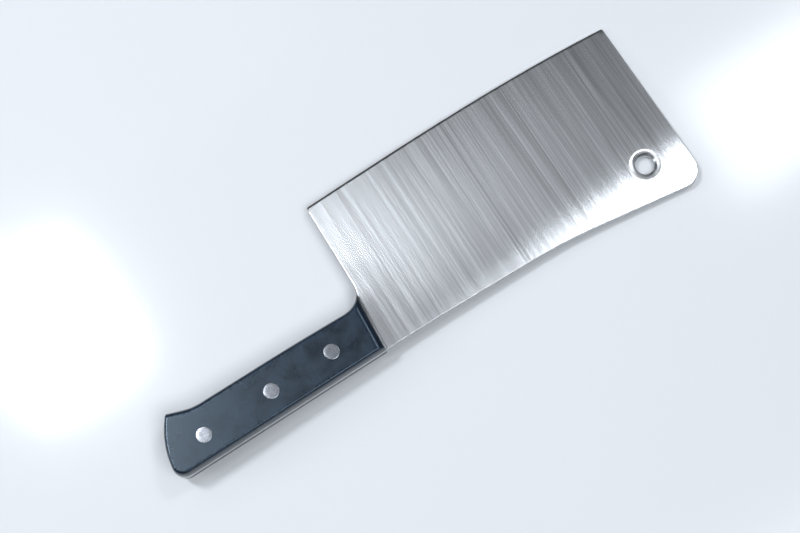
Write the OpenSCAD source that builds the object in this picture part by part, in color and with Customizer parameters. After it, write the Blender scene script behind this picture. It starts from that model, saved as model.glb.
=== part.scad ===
// Meat cleaver: a full-tang blade between two riveted handle scales, lying flat on its lower scale.
// Drawn with the heel of the blade at x = 0 and the straight of its spine at y = 0, then moved to the frame:
// +X towards the blade's front end, +Y towards the cutting edge, +Z up out of the blade's face.

/* [Blade] */
// Length of the cutting edge from heel to front end
blade_len = 181; // [145:1:215]
// Height of the blade at the heel, from spine to cutting edge
blade_h = 84.2; // [65:0.2:105]
// Thickness of the steel at the spine and through the tang
blade_t = 4.5; // [3:0.1:6]
// Height at the heel of the flat band along the spine, beyond which the blade is ground thinner
flat_band = 5; // [3:0.5:10]
// Angle at which the border of the flat band climbs towards the front end, in degrees
band_climb = 3.8; // [0:0.1:6]
// Distance over which the grind runs out towards the handle
grind_runout = 26; // [12:1:40]
// How far the grind is fuller than a flat wedge: 1 is flat
grind_belly = 1.05; // [1:0.05:1.6]
// Thickness just behind the cutting bevel
behind_edge_t = 1.3; // [0.8:0.1:2]
// Width of the cutting bevel
bevel_w = 1.2; // [0.6:0.1:2.5]
// Thickness left at the very edge
edge_t = 0.3; // [0.1:0.05:0.6]
// Height the cutting edge would gain over its length if it went on as it starts at the heel
edge_rise = 9.2; // [4:0.2:12]
// Height that the sweep of the cutting edge takes off at its front end
edge_sweep = 6.6; // [3:0.2:11]
// Radius of the corner between heel and cutting edge
heel_r = 1.2; // [0.4:0.1:3]
// Lean of the front end from square, in degrees
front_lean = 0.7; // [0:0.1:8]
// Radius of the corner between front end and spine
corner_r = 10; // [3:0.5:16]
// Distance from the heel to where the spine starts to bend down
flare_start = 80; // [40:1:100]
// Radius of the bend in the spine
flare_r = 360; // [150:10:500]
// Angle at which the spine then falls away, in degrees
flare_angle = 7; // [0:0.1:10]
// Radius of the hollow between the heel and the top of the handle
choil_r = 12; // [5:0.5:16]

/* [Hanging hole] */
// Diameter of the hole
hole_d = 10; // [6:0.5:14]
// Width of the chamfer on both rims of the hole
hole_chamfer = 1.2; // [0.4:0.1:1.8]
// Distance from the front end back to the centre of the hole
hole_front = 22.7; // [16:0.1:32]
// Height of the centre of the hole over the straight of the spine
hole_up = 12.7; // [6:0.1:24]

/* [Handle] */
// Length of the handle scales from their front face to the butt
grip_len = 120.9; // [100:0.1:150]
// Gap between the heel line and the front face of the scales
grip_gap = 2.4; // [1:0.1:5]
// Height of the tang at the blade
grip_h = 25.2; // [22:0.2:34]
// Angle at which the spine side of the handle drops towards the butt, in degrees
grip_droop = 1.7; // [0:0.1:4]
// Distance ahead of the heel at which the spine side of the handle meets the straight of the spine
grip_bend_x = 20; // [5:1:40]
// Radius of the bend between them
grip_bend_r = 1300; // [400:50:2000]
// Angle at which the belly side drops towards the butt, in degrees
belly_droop = 1.3; // [0:0.1:4]
// Distance from the heel back to where the belly side starts to drop
belly_bend_x = 45; // [30:1:60]
// Radius of the belly side where it starts to drop
belly_bend_r = 1200; // [200:50:2000]
// Lean of the front face of the scales, in degrees
grip_front_lean = 2.7; // [0:0.1:8]
// Thickness of one scale
scale_t = 7.75; // [6:0.25:10]
// Length of the beak along the belly side, from the butt to where it starts to rise
beak_len = 23; // [16:0.2:32]
// Angle at which the beak rises, in degrees
beak_rise = 18; // [8:0.1:26]
// Radius of the bend where the beak starts
beak_bend_r = 28; // [14:1:36]
// Radius of the tip of the beak
beak_tip_r = 1; // [0.4:0.1:2]
// Lean of the butt up to the beak, in degrees
butt_lean = 34; // [24:1:44]
// Lean of the butt below its bend, in degrees
butt_low_lean = 5; // [0:1:10]
// Height of the bend in the butt over the straight of the spine
butt_bend_h = 14.9; // [11:0.1:19]
// Distance of that bend in from the very end of the handle
butt_bend_in = 0.9; // [0:0.1:2]
// Radius of the bend in the butt
butt_bend_r = 47; // [20:1:60]
// Radius of the lower corner of the butt
butt_corner_r = 6; // [3:0.5:6]
// How far the flat outer face of a scale stands in from its front face
ease_front = 4.6; // [2:0.1:6]
// How far the outer face stands in from the belly side
ease_belly = 3; // [1:0.1:4]
// How far the outer face stands in from the spine side
ease_spine = 1.9; // [0.8:0.1:3]
// How far the outer face stands in from the butt
ease_butt = 2; // [1:0.1:3.5]

/* [Rivets] */
// Diameter of a rivet head
head_d = 8; // [6:0.25:10]
// Thickness of a rivet head
head_t = 2.2; // [1.5:0.1:3]
// Diameter of the solid pin of a rivet
pin_d = 3.2; // [2.4:0.1:4]
// Outer diameter of the tube that the pin is pressed into
tube_d = 5; // [4:0.1:6]
// Length of the tube's end that stops short of the other head
tube_short = 1.5; // [0.5:0.1:3]
// Depth left free below the end of the pin
pin_short = 2; // [0.5:0.1:3]
// Radial clearance of the tube in the scales and the tang
tube_play = 0.05; // [0.02:0.01:0.2]
// Radial clearance of a head in its counterbore
head_play = 0.03; // [0.02:0.01:0.1]
// Distance from the front face of the scales to the front rivet
rivet_first = 24.8; // [14:0.1:34]
// Distance between the front rivet and the middle one
rivet_pitch_front = 35.4; // [28:0.1:44]
// Distance between the middle rivet and the one by the butt
rivet_pitch_butt = 39.1; // [28:0.1:44]
// Height of the front rivet over the spine side of the tang
rivet_up = 12.8; // [10:0.1:16]
// Angle at which the row of rivets drops towards the butt, in degrees
rivet_droop = 2.2; // [0:0.1:4]

/* [Hidden] */

// Colours
steel = [0.80, 0.82, 0.85];
rivet_metal = [0.76, 0.78, 0.81];
black_acetal = [0.13, 0.15, 0.18];

// Fineness of the outlines and surfaces
bore_fn = 96;
arc_steps = 10;
bend_steps = 4;
grind_columns = 22;
grind_rows = 10;
belly_steps = 8;
ease_steps = 7;
over = 1;
blank_past_spine = 40;
// The rounding of the heel starts this far past the edge, so that it cuts cleanly into it
heel_lift = 0.05;
ease_power = 2.6;
column_power = 1.6;

// Heights in the frame
lower_tang_z = scale_t;
upper_tang_z = scale_t + blade_t;
mid_z = scale_t + blade_t / 2;
top_z = 2 * scale_t + blade_t;

// ---- lines are [point, angle], corners and fillets are worked out from them ----
function at(line, t) = line[0] + t * [cos(line[1]), sin(line[1])];
function y_on(line, x) = line[0][1] + (x - line[0][0]) * tan(line[1]);
function inset(line, d) = [line[0] + d * [-sin(line[1]), cos(line[1])], line[1]];
function cross2(a, b) = a[0] * b[1] - a[1] * b[0];
function meet(p, q) =
    let (u = [cos(p[1]), sin(p[1])], v = [cos(q[1]), sin(q[1])])
    p[0] + u * cross2(q[0] - p[0], v) / cross2(u, v);

// Arc of radius r that rounds the corner where line p runs into line q
function fillet(p, q, r, steps = arc_steps) =
    let (
        corner = meet(p, q),
        turn = q[1] - p[1],
        side = turn > 0 ? 1 : -1,
        back = r * tan(abs(turn) / 2),
        start = corner - back * [cos(p[1]), sin(p[1])],
        centre = start + side * r * [-sin(p[1]), cos(p[1])]
    )
    [for (i = [0:steps]) let (a = p[1] + turn * i / steps) centre + side * r * [sin(a), -cos(a)]];

// ---- outline of the steel, walked anticlockwise so that inset() moves inwards ----
butt_x = -grip_gap - grip_len;
butt_bend = [butt_x + butt_bend_in, butt_bend_h];
grip_spine_line = [[grip_bend_x, 0], grip_droop];
spine_line = [[0, 0], 0];
flare_line = [[flare_start + flare_r * tan(flare_angle / 2), 0], -flare_angle];
front_line = [[blade_len, edge_y(blade_len)], 90 + front_lean];
edge_line = [[0, blade_h + heel_lift], 180 + atan(edge_rise / blade_len)];
heel_line = [[0, 0], 270];
belly_line = [[-belly_bend_x, grip_h], 180];
belly_low_line = [[-belly_bend_x, grip_h], 180 + belly_droop];
beak_line = [[butt_x + beak_len, y_on(belly_low_line, butt_x + beak_len)], 180 - beak_rise];
butt_line = [butt_bend, 270 - butt_lean];
butt_low_line = [butt_bend, 270 - butt_low_lean];

function edge_y(x) = blade_h + edge_rise * x / blade_len - edge_sweep * pow(x / blade_len, 3);

// The steel's outline as far as the handle shows it, from the belly round the butt to the spine side
function butt_outline(belly = 0, butt = 0, spine = 0) = concat(
    fillet(inset(belly_line, belly), inset(belly_low_line, belly), belly_bend_r - belly, bend_steps),
    fillet(inset(belly_low_line, belly), inset(beak_line, belly), beak_bend_r + belly),
    fillet(inset(beak_line, belly), inset(butt_line, butt), beak_tip_r),
    fillet(inset(butt_line, butt), inset(butt_low_line, butt), butt_bend_r - butt),
    fillet(inset(butt_low_line, butt), [inset(grip_spine_line, spine)[0], 360 + grip_droop],
        butt_corner_r - min(butt, spine))
);

past_edge = blade_h + edge_rise + 2 * over;
front_top = meet(front_line, [[0, past_edge], 0]);
choil_arc = [for (i = [0:arc_steps]) let (a = -90 * i / arc_steps)
    [choil_r * (cos(a) - 1), grip_h + choil_r * (1 + sin(a))]];
heel_arc = fillet(edge_line, heel_line, heel_r);
steel_outline = concat(
    fillet(grip_spine_line, spine_line, grip_bend_r, bend_steps),
    fillet(spine_line, flare_line, flare_r),
    fillet(flare_line, front_line, corner_r),
    [front_top, [heel_arc[0][0], past_edge]],
    heel_arc,
    choil_arc,
    butt_outline()
);

// Columns of points across the ground blade, closest together by the handle
tang_join_x = -choil_r - 2 * over;
function column_x(i) = tang_join_x - over
    + (blade_len + 2 * corner_r - tang_join_x) * pow(i / grind_columns, column_power);

// Corners of the whole object, which place it on the frame's origin
front_x = max([for (p = fillet(flare_line, front_line, corner_r)) p[0]]);
rear_x = min([for (p = butt_outline()) p[0]]);
low_y = min([for (p = steel_outline) p[1]]);
high_y = max([for (i = [0:grind_columns]) edge_y(column_x(i))]);
frame_shift = [-(front_x + rear_x) / 2, -(low_y + high_y) / 2, 0];

// ---- the ground blade ----
// Distance from a point of the blade to the handle end of the tang
function tang_distance(x, y) = norm([max(0, x + grip_gap), max(0, y - grip_h)]);
function runout(d) = let (t = min(1, d / grind_runout)) t * t * (3 - 2 * t);
function band_y(x) = flat_band + max(0, x) * tan(band_climb);
function ground_half(x, y, top) =
    let (share = max(0, (y - band_y(x)) / (top - band_y(x))))
    (blade_t - (blade_t - behind_edge_t) * pow(share, grind_belly) * runout(tang_distance(x, y))) / 2;

// One column of the blade's face: [y, half thickness] from below the spine to the cutting edge
function face_column(x) =
    let (edge = edge_y(max(0, x)), top = edge - bevel_w)
    concat(
        [[-blank_past_spine, blade_t / 2]],
        [for (j = [0:grind_rows]) let (y = band_y(x) + (top - band_y(x)) * j / grind_rows)
            [y, ground_half(x, y, top)]],
        [[edge, edge_t / 2]]
    );

module ground_blank() {
    columns = [for (i = [0:grind_columns]) column_x(i)];
    faces_up = [for (x = columns) face_column(x)];
    n = len(faces_up[0]);
    m = len(columns);
    upper = [for (i = [0:m - 1]) for (p = faces_up[i]) [columns[i], p[0], mid_z + p[1]]];
    lower = [for (i = [0:m - 1]) for (p = faces_up[i]) [columns[i], p[0], mid_z - p[1]]];
    b = m * n;
    skin = [for (i = [0:m - 2]) for (j = [0:n - 2])
        let (a = i * n + j, c = a + n)
        each [[a, a + 1, c + 1], [a, c + 1, c], [b + a, b + c + 1, b + a + 1], [b + a, b + c, b + c + 1]]];
    spine_side = [for (i = [0:m - 2]) let (a = i * n, c = a + n) each [[a, c, b + c], [a, b + c, b + a]]];
    edge_side = [for (i = [0:m - 2]) let (a = i * n + n - 1, c = a + n)
        each [[a, b + c, c], [a, b + a, b + c]]];
    last = (m - 1) * n;
    ends = [for (j = [0:n - 2]) each [
        [j, b + j, b + j + 1], [j, b + j + 1, j + 1],
        [last + j, b + last + j + 1, b + last + j], [last + j, last + j + 1, b + last + j + 1]]];
    polyhedron(concat(upper, lower), concat(skin, spine_side, edge_side, ends), convexity = 4);
}

module steel_prism(z, t) {
    translate([0, 0, z]) linear_extrude(t) polygon(steel_outline);
}

module full_thickness_tang() {
    intersection() {
        steel_prism(lower_tang_z, blade_t);
        translate([butt_x - over, -blank_past_spine, lower_tang_z])
            cube([tang_join_x - butt_x + over, 2 * blank_past_spine + grip_h, blade_t]);
    }
}

hole_at = [meet(front_line, [[0, hole_up], 0])[0] - hole_front, hole_up];

module hanging_hole() {
    rim_d = hole_d + 2 * (hole_chamfer + over);
    translate([hole_at[0], hole_at[1], lower_tang_z - over])
        cylinder(d = hole_d, h = blade_t + 2 * over, $fn = bore_fn);
    translate([hole_at[0], hole_at[1], lower_tang_z - over])
        cylinder(d1 = rim_d, d2 = hole_d, h = hole_chamfer + over, $fn = bore_fn);
    translate([hole_at[0], hole_at[1], upper_tang_z - hole_chamfer])
        cylinder(d1 = hole_d, d2 = rim_d, h = hole_chamfer + over, $fn = bore_fn);
}

// ---- rivets: a straight row down the handle ----
rivet_runs = [0, -rivet_pitch_front, -rivet_pitch_front - rivet_pitch_butt];
rivet_front_x = -grip_gap - rivet_first;
rivet_line = [[rivet_front_x, y_on(grip_spine_line, rivet_front_x) + rivet_up], rivet_droop];
function rivet_at(i) = at(rivet_line, rivet_runs[i]);

module tube_holes(z, t) {
    for (i = [0:2]) translate([rivet_at(i)[0], rivet_at(i)[1], z])
        cylinder(d = tube_d + 2 * tube_play, h = t, $fn = bore_fn);
}

module blade() {
    color(steel) translate(frame_shift) difference() {
        union() {
            full_thickness_tang();
            intersection() {
                steel_prism(lower_tang_z - over, blade_t + 2 * over);
                ground_blank();
            }
        }
        hanging_hole();
        tube_holes(lower_tang_z - over, blade_t + 2 * over);
    }
}

// ---- handle scales ----
// Share of the easing used up at a share of the thickness: upright at the tang, rounding onto the face
function eased(t) = 1 - pow(1 - pow(t, ease_power), 1 / ease_power);

function scale_front_x(y) = -grip_gap + (y - grip_h / 2) * tan(grip_front_lean);
function belly_y(x, d) = x < -choil_r
    ? grip_h - d
    : grip_h + choil_r - sqrt(pow(choil_r + d, 2) - pow(x + choil_r, 2));

// Outline of a scale when its sides have moved in by a share of the easing
function scale_ring(share) =
    let (
        front = ease_front * share,
        belly = ease_belly * share,
        spine = ease_spine * share,
        butt = ease_butt * share,
        rough_x = scale_front_x(grip_h) - front,
        horn_x = scale_front_x(belly_y(rough_x, belly)) - front,
        foot_x = scale_front_x(0) - front,
        start_x = -choil_r - over,
        mid_x = -grip_len / 2,
        side = inset(grip_spine_line, spine)
    )
    concat(
        [[mid_x, y_on(side, mid_x)], [foot_x, y_on(side, foot_x)]],
        [for (i = [belly_steps:-1:0]) let (x = start_x + (horn_x - start_x) * i / belly_steps)
            [x, belly_y(x, belly)]],
        butt_outline(belly, butt, spine)
    );

module scale_solid() {
    shares = [for (k = [0:ease_steps]) sin(90 * k / ease_steps)];
    rings = [for (s = shares) scale_ring(eased(s))];
    n = len(rings[0]);
    top = ease_steps * n;
    split = belly_steps + bend_steps + 3;
    points = [for (k = [0:ease_steps]) for (p = rings[k]) [p[0], p[1], scale_t * shares[k]]];
    sides = [for (k = [0:ease_steps - 1]) for (i = [0:n - 1])
        let (a = k * n + i, b = k * n + (i + 1) % n)
        each [[a, b + n, b], [a, a + n, b + n]]];
    caps = [
        [for (i = [1:split]) i, 0],
        [0, for (i = [split:n - 1]) i],
        [top + 1, top, for (i = [split:-1:2]) top + i],
        [top, for (i = [n - 1:-1:split]) top + i]
    ];
    polyhedron(points, concat(sides, caps), convexity = 6);
}

// One scale with its inner face at z = 0, drilled for the tubes and counterbored for the heads
module scale_blank() {
    difference() {
        scale_solid();
        tube_holes(-over, scale_t + 2 * over);
        for (i = [0:2]) translate([rivet_at(i)[0], rivet_at(i)[1], scale_t - head_t])
            cylinder(d = head_d + 2 * head_play, h = head_t + over, $fn = bore_fn);
    }
}

module handle_scale_upper() {
    color(black_acetal) translate(frame_shift) translate([0, 0, upper_tang_z]) scale_blank();
}

module handle_scale_lower() {
    color(black_acetal) translate(frame_shift) translate([0, 0, lower_tang_z]) mirror([0, 0, 1]) scale_blank();
}

// Male half of a rivet: its head lies flush in the upper scale
module rivet_pin(i) {
    head_z = top_z - head_t;
    color(rivet_metal) translate(frame_shift) translate([rivet_at(i)[0], rivet_at(i)[1], 0]) union() {
        translate([0, 0, head_z]) cylinder(d = head_d, h = head_t, $fn = bore_fn);
        translate([0, 0, head_t + pin_short])
            cylinder(d = pin_d, h = head_z - head_t - pin_short + over, $fn = bore_fn);
    }
}

// Female half: its head lies flush in the lower scale, and its blind tube grips the pin
module rivet_sleeve(i) {
    color(rivet_metal) translate(frame_shift) translate([rivet_at(i)[0], rivet_at(i)[1], 0]) difference() {
        union() {
            cylinder(d = head_d, h = head_t, $fn = bore_fn);
            cylinder(d = tube_d, h = top_z - head_t - tube_short, $fn = bore_fn);
        }
        translate([0, 0, head_t]) cylinder(d = pin_d, h = top_z, $fn = bore_fn);
    }
}

blade();
handle_scale_upper();
handle_scale_lower();
rivet_pin(0);  // rivet_pin_front
rivet_pin(1);  // rivet_pin_middle
rivet_pin(2);  // rivet_pin_butt
rivet_sleeve(0);  // rivet_sleeve_front
rivet_sleeve(1);  // rivet_sleeve_middle
rivet_sleeve(2);  // rivet_sleeve_butt
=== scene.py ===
"""Meat cleaver: a ground blade on a full tang, two riveted handle scales and the stage they lie on."""

import functools
import math

import bmesh
import bpy
import numpy as np
from bpy.props import FloatProperty, FloatVectorProperty, IntProperty, PointerProperty
from mathutils import Matrix, Vector
from mathutils.geometry import delaunay_2d_cdt


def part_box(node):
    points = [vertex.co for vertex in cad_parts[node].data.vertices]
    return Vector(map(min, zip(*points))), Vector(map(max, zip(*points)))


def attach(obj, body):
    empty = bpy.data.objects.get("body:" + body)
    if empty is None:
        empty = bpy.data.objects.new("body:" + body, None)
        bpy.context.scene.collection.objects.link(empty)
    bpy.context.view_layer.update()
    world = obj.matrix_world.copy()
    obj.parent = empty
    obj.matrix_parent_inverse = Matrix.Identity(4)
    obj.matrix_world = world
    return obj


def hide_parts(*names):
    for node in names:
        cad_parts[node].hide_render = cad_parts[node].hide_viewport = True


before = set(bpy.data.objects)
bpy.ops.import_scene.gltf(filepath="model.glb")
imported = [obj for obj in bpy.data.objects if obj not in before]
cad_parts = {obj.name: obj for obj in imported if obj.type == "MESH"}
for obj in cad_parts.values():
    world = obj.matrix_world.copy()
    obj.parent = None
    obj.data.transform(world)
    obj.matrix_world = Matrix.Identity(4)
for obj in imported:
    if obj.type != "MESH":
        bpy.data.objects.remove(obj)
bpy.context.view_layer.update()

bl_info = {
    "name": "Meat cleaver",
    "version": (1, 0, 0),
    "blender": (4, 5, 0),
    "location": "3D View > Sidebar > Cleaver",
    "description": "Builds the blade, the handle scales, the rivets and the stage of a meat cleaver",
    "category": "Object",
}

TANG_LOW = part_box("blade")[0].z
TANG_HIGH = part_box("blade")[1].z
MIDDLE = (TANG_LOW + TANG_HIGH) / 2
HANDLE_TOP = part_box("handle_scale_upper")[1].z
RIVET_WAYS = ("front", "middle", "butt")
FINISHES = {}
BRUSH_LEAN = math.radians(0.6)
DENSITIES = {"blade": 7800.0, "handle": 1410.0, "rivet": 2700.0}
LIP_DEPTH = 0.0002

# How finely the pieces are divided, in metres where it is a length.
OUTLINE_STEP = 0.0016
HOLE_FLATS = 96
TUBE_FLATS = 64
RIM_LOOPS = (0.06, 0.22, 0.5, 1.0, 1.6)
LIP_LOOPS = (0.0, 0.06, 0.15, 0.3, 0.5, 0.75, 1.0, 1.3)
CREASE_GUARD = 0.00012
BEVEL_GUARD = 0.00009
EDGE_STEP = 0.0014
COLUMN_STEP = 0.0021
ROW_STEP = 0.0018
CLEAR_OF_RIM = 0.0009
CLEAR_OF_BORE = 0.0008

# Each lamp: name, place, size across and along, and power. The softboxes lie level with the brush lines.
LAMPS = [
    ("left_softbox", (-0.43, 0.40, 1.33), (0.16, 0.20), 7.3),
    ("right_softbox", (0.58, 0.14, 1.34), (0.24, 0.17), 2.6),
    ("key_panel", (-0.45, 1.30, 1.95), (1.2, 1.2), 4.0),
    ("fill_panel", (0.20, -0.90, 2.10), (1.0, 1.0), 23.0),
    ("butt_panel", (-1.10, 0.35, 0.55), (0.5, 0.5), 3.0),
]
LAMP_COLOUR = (0.93, 0.965, 1.0)
ROOM_COLOUR = (0.90, 0.95, 1.0, 1)
ROOM_STRENGTH = 0.14
FLOOR_REACH = 6.0
CAMERA_TARGET = Vector((-0.0043, -0.0071, 0.010))
CAMERA_BACK = Vector((-0.10, -0.22, 1.0)).normalized()
CAMERA_DISTANCE = 0.81
CAMERA_ROLL = math.radians(-32.0)
SENSOR_WIDTH = 36.0
FOCAL_LENGTH = 72.0


# ---------------------------------------------------------------- sizes and colours


def length_of(name, description, default):
    return FloatProperty(name=name, description=description, default=default, unit="LENGTH")


def angle_of(name, description, degrees):
    return FloatProperty(name=name, description=description, default=math.radians(degrees), subtype="ANGLE")


def colour_of(name, description, default):
    return FloatVectorProperty(name=name, description=description, subtype="COLOR", size=3, default=default)


class CleaverBladeSizes(bpy.types.PropertyGroup):
    """Sizes of the steel, the heel of the blade being the place where distances start."""

    length: length_of("Edge length", "Cutting edge, from heel to front end", 0.181)
    height: length_of("Heel height", "From spine to cutting edge at the heel", 0.0842)
    edge_rise: length_of("Edge rise", "Height the edge would gain if it went on as at the heel", 0.0092)
    edge_sweep: length_of("Edge sweep", "Height the sweep of the edge takes off at the front", 0.0066)
    front_lean: angle_of("Front lean", "Lean of the front end from square", 0.7)
    corner_radius: length_of("Front corner", "Radius between front end and spine", 0.010)
    tip_radius: length_of("Tip", "Radius between front end and cutting edge", 0.0008)
    heel_radius: length_of("Heel corner", "Radius between heel and cutting edge", 0.0012)
    flare_start: length_of("Flare start", "Distance from the heel to the bend in the spine", 0.080)
    flare_radius: length_of("Flare radius", "Radius of the bend in the spine", 0.360)
    flare_angle: angle_of("Flare angle", "Fall of the spine past its bend", 7)
    choil_radius: length_of("Choil radius", "Hollow between heel and handle", 0.012)
    flat_band: length_of("Flat band", "Height at the heel of the band that isn't ground", 0.005)
    border_softness: FloatProperty(
        name="Border softness", description="Share of the grind over which its border is blended",
        default=0.22,
    )
    band_climb: angle_of("Band climb", "Climb of the band's border to the front", 3.8)
    runout: length_of("Grind run-out", "Distance in which the grind fades towards the handle", 0.026)
    fullness: FloatProperty(
        name="Grind fullness", description="One is a flat wedge, more leaves the face fuller", default=1.05
    )
    behind_edge: length_of("Behind the edge", "Thickness just behind the cutting bevel", 0.0013)
    bevel_width: length_of("Bevel width", "Width of the cutting bevel", 0.0012)
    edge_thickness: length_of("Edge thickness", "Thickness left at the very edge", 0.0003)
    rim_easing: length_of("Rim easing", "Radius rubbed onto the steel's outer corners", 0.00035)
    hole_diameter: length_of("Hole", "Diameter of the hanging hole", 0.010)
    hole_chamfer: length_of("Hole chamfer", "Width of the chamfer on the hole's rims", 0.0012)
    hole_lip: length_of("Hole lip", "Width of the polished rounding round the hole", 0.0020)
    hole_front: length_of("Hole from front", "Front end back to the hole's centre", 0.0227)
    hole_up: length_of("Hole height", "Hole's centre over the straight of the spine", 0.0127)


class CleaverHandleSizes(bpy.types.PropertyGroup):
    """Sizes of the handle, measured back from the heel and up from the spine."""

    length: length_of("Scale length", "From the scales' front face to the butt", 0.1209)
    gap: length_of("Front gap", "Heel line back to the scales' front face", 0.0024)
    height: length_of("Grip height", "Height of the tang at the blade", 0.0252)
    droop: angle_of("Spine side droop", "Fall of the spine side towards the butt", 1.7)
    bend_x: length_of("Spine bend", "Distance ahead of the heel where the spine runs level", 0.020)
    bend_radius: length_of("Spine bend radius", "Radius of that bend", 1.3)
    belly_droop: angle_of("Belly droop", "Fall of the belly side towards the butt", 1.3)
    belly_bend_x: length_of("Belly bend", "Heel back to where the belly side starts to fall", 0.045)
    belly_bend_radius: length_of("Belly bend radius", "Radius of the belly's bend", 1.2)
    front_lean: angle_of("Front lean", "Lean of the scales' front face", 2.7)
    beak_length: length_of("Beak length", "From the butt to where the beak starts to rise", 0.023)
    beak_rise: angle_of("Beak rise", "Angle of the beak", 18)
    beak_bend_radius: length_of("Beak bend", "Radius where the beak starts", 0.028)
    beak_tip_radius: length_of("Beak tip", "Radius of the beak's tip", 0.001)
    butt_lean: angle_of("Butt lean", "Lean of the butt up to the beak", 34)
    butt_low_lean: angle_of("Low butt lean", "Lean of the butt below its bend", 5)
    butt_bend_height: length_of("Butt bend height", "Height of the bend over the spine", 0.0149)
    butt_bend_in: length_of("Butt bend inset", "Distance of the bend in from the end", 0.0009)
    butt_bend_radius: length_of("Butt bend radius", "Radius of the bend in the butt", 0.047)
    butt_corner_radius: length_of("Butt corner", "Radius of the butt's lower corner", 0.006)
    ease_front: length_of("Front easing", "Outer face in from the front face", 0.0046)
    ease_belly: length_of("Belly easing", "Outer face in from the belly side", 0.003)
    ease_spine: length_of("Spine easing", "Outer face in from the spine side", 0.0019)
    ease_butt: length_of("Butt easing", "Outer face in from the butt", 0.002)
    ease_power: FloatProperty(
        name="Easing power", description="Two is a round easing, more is squarer", default=2.6
    )


class CleaverRivetSizes(bpy.types.PropertyGroup):
    """Sizes of the two-piece rivets and of their row down the handle."""

    head_diameter: length_of("Head", "Diameter of a rivet head", 0.008)
    head_thickness: length_of("Head thickness", "Thickness of a rivet head", 0.0022)
    head_play: length_of("Head play", "Clearance round a head in its counterbore", 0.00003)
    pin_diameter: length_of("Pin", "Diameter of the solid pin", 0.0032)
    tube_diameter: length_of("Tube", "Outer diameter of the tube", 0.005)
    tube_play: length_of("Tube play", "Clearance round the tube", 0.00005)
    tube_short: length_of("Tube end", "Tube's end short of the other head", 0.0015)
    pin_short: length_of("Pin end", "Depth left free below the pin", 0.002)
    rim_easing: length_of("Rim easing", "Rounding left on a head's rim", 0.00018)
    segments: IntProperty(name="Segments", description="Flats round one turned rivet", default=72)


class CleaverColours(bpy.types.PropertyGroup):
    """Colours of the finishes, in linear light."""

    steel: colour_of("Steel", "Ground stainless steel", (0.46, 0.472, 0.49))
    acetal: colour_of("Acetal", "Black handle scales", (0.004, 0.008, 0.016))
    rivet: colour_of("Rivet metal", "Flush rivet heads", (0.235, 0.247, 0.275))
    floor: colour_of("Floor", "Plain pale floor", (0.80, 0.82, 0.85))


# ---------------------------------------------------------------- lines, corners and outlines


def along(line, t):
    (x, y), a = line
    return (x + t * math.cos(a), y + t * math.sin(a))


def inset(line, d):
    (x, y), a = line
    return ((x - d * math.sin(a), y + d * math.cos(a)), a)


def y_on(line, x):
    (x0, y0), a = line
    return y0 + (x - x0) * math.tan(a)


def meet(p, q):
    (px, py), a = p
    (qx, qy), b = q
    return along(p, ((qx - px) * math.sin(b) - (qy - py) * math.cos(b)) / math.sin(b - a))


def fillet(p, q, radius, steps):
    """Arc that rounds the corner where line p runs into line q."""
    turn = q[1] - p[1]
    side = 1 if turn > 0 else -1
    cx, cy = meet(p, q)
    back = radius * math.tan(abs(turn) / 2)
    cx -= back * math.cos(p[1]) + side * radius * math.sin(p[1])
    cy -= back * math.sin(p[1]) - side * radius * math.cos(p[1])
    angles = [p[1] + turn * i / steps for i in range(steps + 1)]
    return [(cx + side * radius * math.sin(a), cy - side * radius * math.cos(a)) for a in angles]


def filled_in(points, step):
    """The same polyline with points added so that no stretch is longer than step."""
    out = []
    for i, p in enumerate(points[:-1]):
        q = points[i + 1]
        n = max(1, math.ceil(math.dist(p, q) / step))
        out += [(p[0] + (q[0] - p[0]) * k / n, p[1] + (q[1] - p[1]) * k / n) for k in range(n)]
    return out + [points[-1]]


def edge_y(b, x):
    t = x / b.length
    return b.height + b.edge_rise * t - b.edge_sweep * t**3


def edge_slope(b, x):
    return math.atan((b.edge_rise - 3 * b.edge_sweep * (x / b.length) ** 2) / b.length)


def handle_lines(h):
    butt_x = -h.gap - h.length
    bend = (butt_x + h.butt_bend_in, h.butt_bend_height)
    low = ((-h.belly_bend_x, h.height), math.pi + h.belly_droop)
    root_x = butt_x + h.beak_length
    return {
        "belly": ((-h.belly_bend_x, h.height), math.pi),
        "low": low,
        "beak": ((root_x, y_on(low, root_x)), math.pi - h.beak_rise),
        "butt": (bend, 1.5 * math.pi - h.butt_lean),
        "butt_low": (bend, 1.5 * math.pi - h.butt_low_lean),
        "spine": ((h.bend_x, 0.0), 2 * math.pi + h.droop),
    }


def butt_outline(h, belly=0.0, butt=0.0, spine=0.0):
    """The handle's outline from its belly round the butt to its spine side."""
    ln = handle_lines(h)
    return (
        fillet(inset(ln["belly"], belly), inset(ln["low"], belly), h.belly_bend_radius - belly, 10)
        + fillet(inset(ln["low"], belly), inset(ln["beak"], belly), h.beak_bend_radius + belly, 16)[:-1]
        + fillet(inset(ln["beak"], belly), inset(ln["butt"], butt), h.beak_tip_radius, 10)
        + fillet(inset(ln["butt"], butt), inset(ln["butt_low"], butt), h.butt_bend_radius - butt, 28)
        + fillet(
            inset(ln["butt_low"], butt), inset(ln["spine"], spine),
            h.butt_corner_radius - min(butt, spine), 20,
        )
    )


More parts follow.
